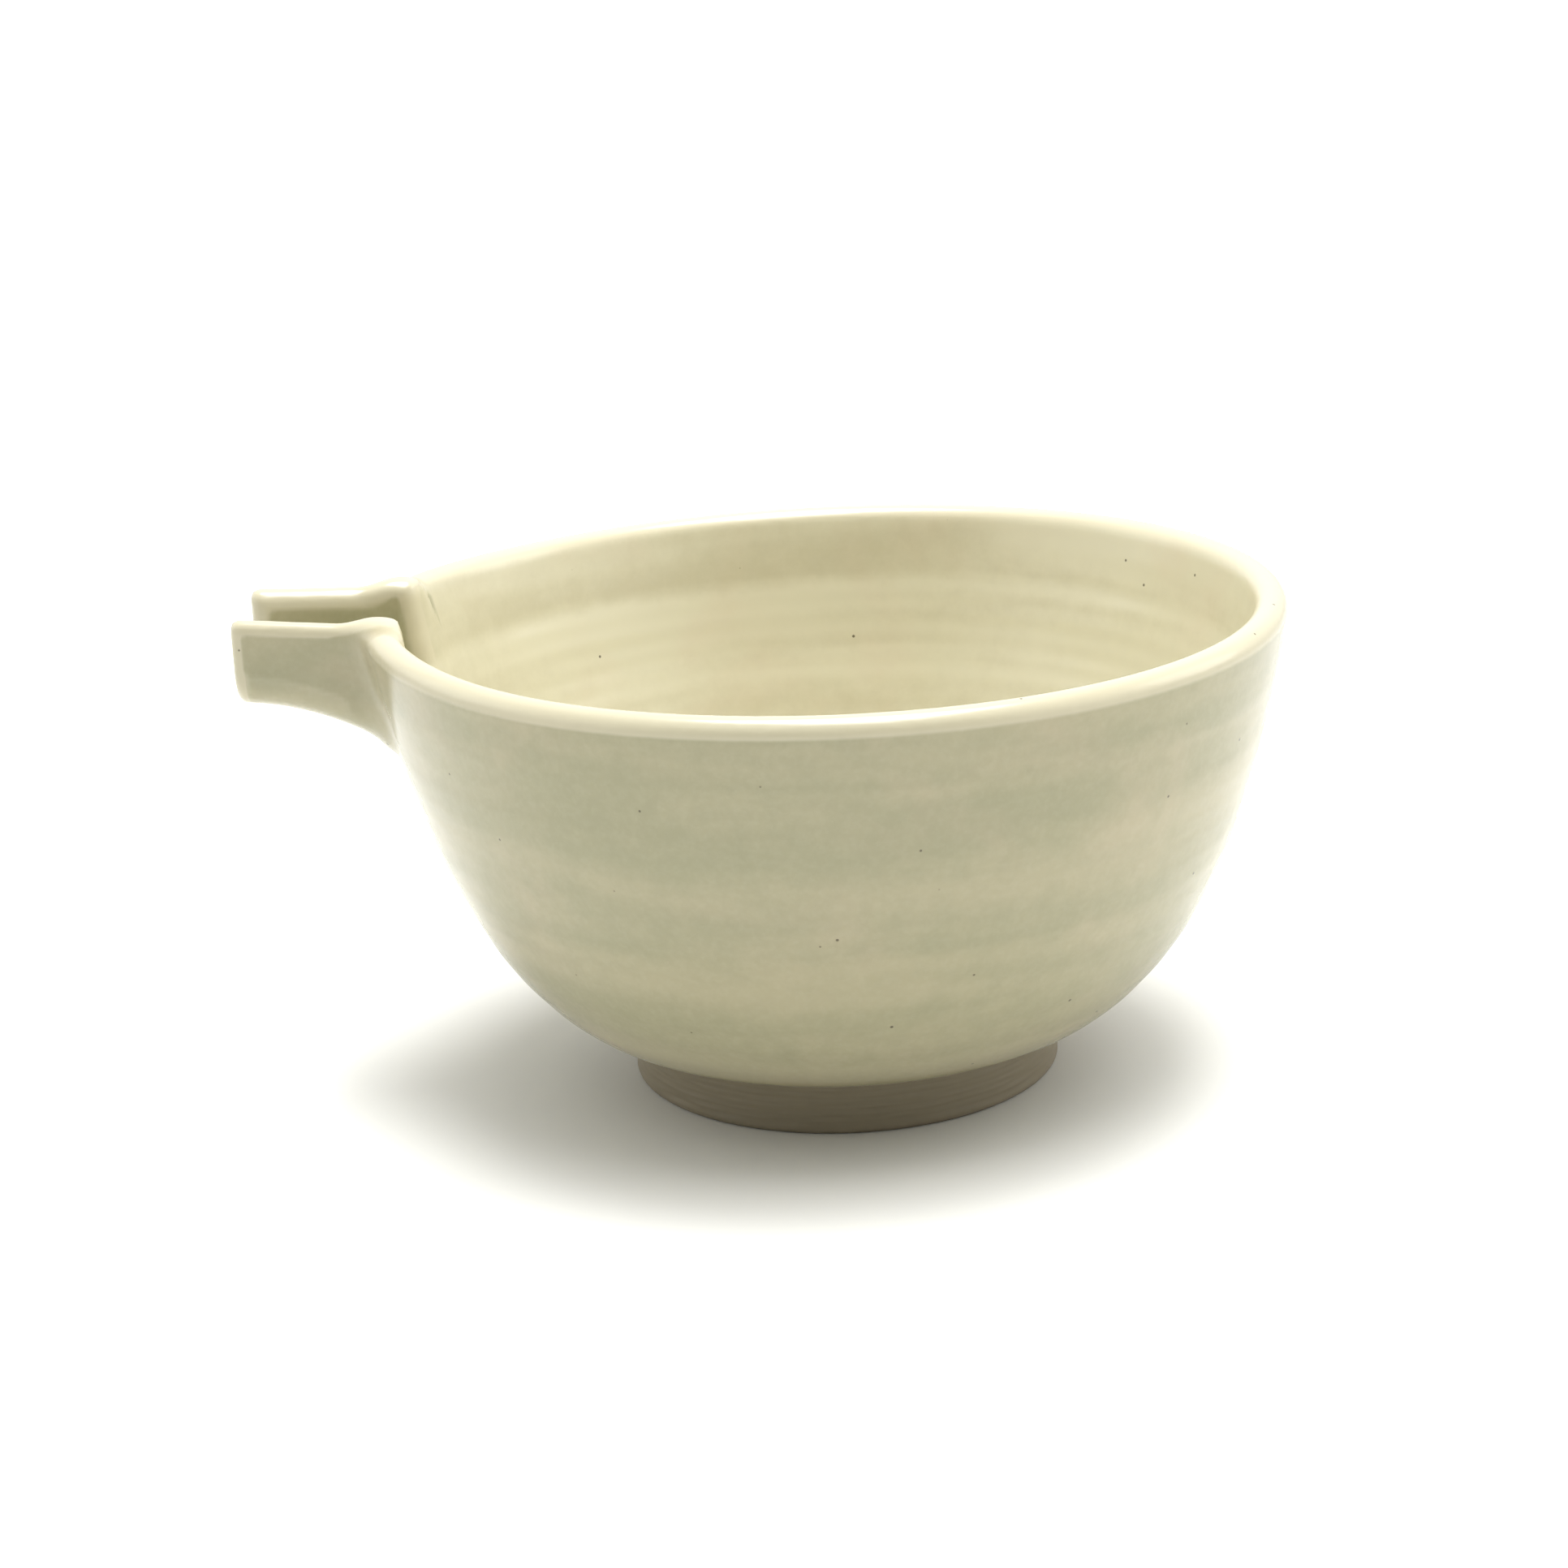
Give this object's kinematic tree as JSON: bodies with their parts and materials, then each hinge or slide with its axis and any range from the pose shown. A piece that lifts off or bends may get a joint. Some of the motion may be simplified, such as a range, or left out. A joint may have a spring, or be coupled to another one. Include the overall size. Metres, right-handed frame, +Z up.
{
  "type": "spouted bowl",
  "caption": "Open pouring bowl of glazed stoneware with a rounded belly, a rolled lip, an open channel spout and a bare turned foot ring.",
  "frame": {"origin": "on the table under the middle of the whole object, half way between the tip of the spout and the far side of the mouth", "axes": "+Z up along the bowl's axis, -X towards the tip of the spout, Y across; the bowl is mirrored across the XZ plane"},
  "size_m": [0.1456, 0.1268, 0.0707],
  "materials": {
    "bowl_glaze": "satin-gloss pale ash glaze, grey-green to straw cream, sparse iron specks",
    "spout_glaze": "satin-gloss pale ash glaze, thinner and lighter on the edges",
    "seam_glaze": "glaze pooled in the corner, a little darker",
    "bare_clay": "matte fired stoneware clay, olive grey to tan"
  },
  "bodies": {
    "root": {"bowl_body": "bowl_glaze", "spout": "spout_glaze", "spout_seam": "seam_glaze", "foot_ring": "bare_clay"}
  },
  "joints": []
}
